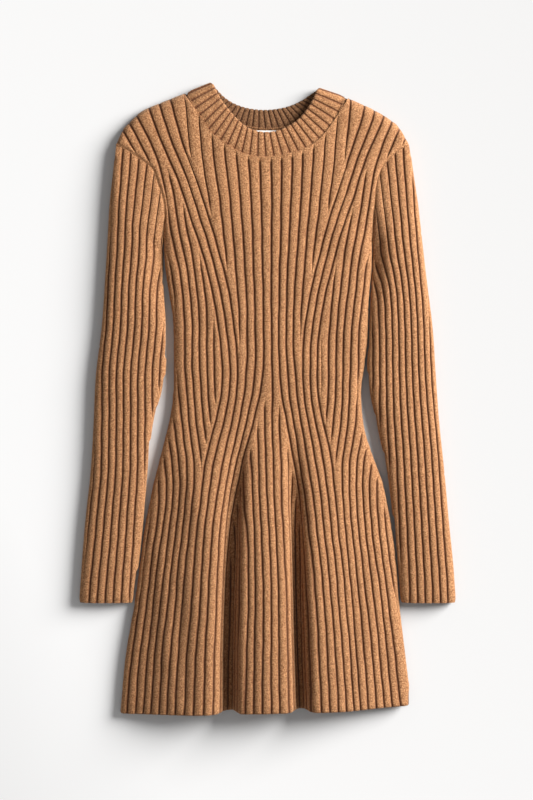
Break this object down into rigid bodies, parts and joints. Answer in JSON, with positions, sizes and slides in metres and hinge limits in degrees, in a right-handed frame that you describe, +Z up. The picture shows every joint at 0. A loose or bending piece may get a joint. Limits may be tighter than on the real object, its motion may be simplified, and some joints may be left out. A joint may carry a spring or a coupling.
{
  "type": "sweater dress",
  "caption": "Long-sleeved sweater dress in wide rib knit with a ribbed crew neckband, fitted waist and flared skirt, laid flat.",
  "frame": {"origin": "on the surface that the dress lies on, under the middle of its bounding box", "axes": "+X to the right of someone looking down on the front, +Y from hem to neck, +Z up out of the front"},
  "size_m": [0.4862, 0.8184, 0.0405],
  "materials": {
    "rib_knit": "soft brushed melange wool knit",
    "label_tape": "smooth woven tape"
  },
  "bodies": {
    "root": {"front": "rib_knit", "back": "rib_knit", "sleeve_left": "rib_knit", "sleeve_right": "rib_knit", "neckband": "rib_knit", "label": "label_tape"}
  },
  "joints": []
}
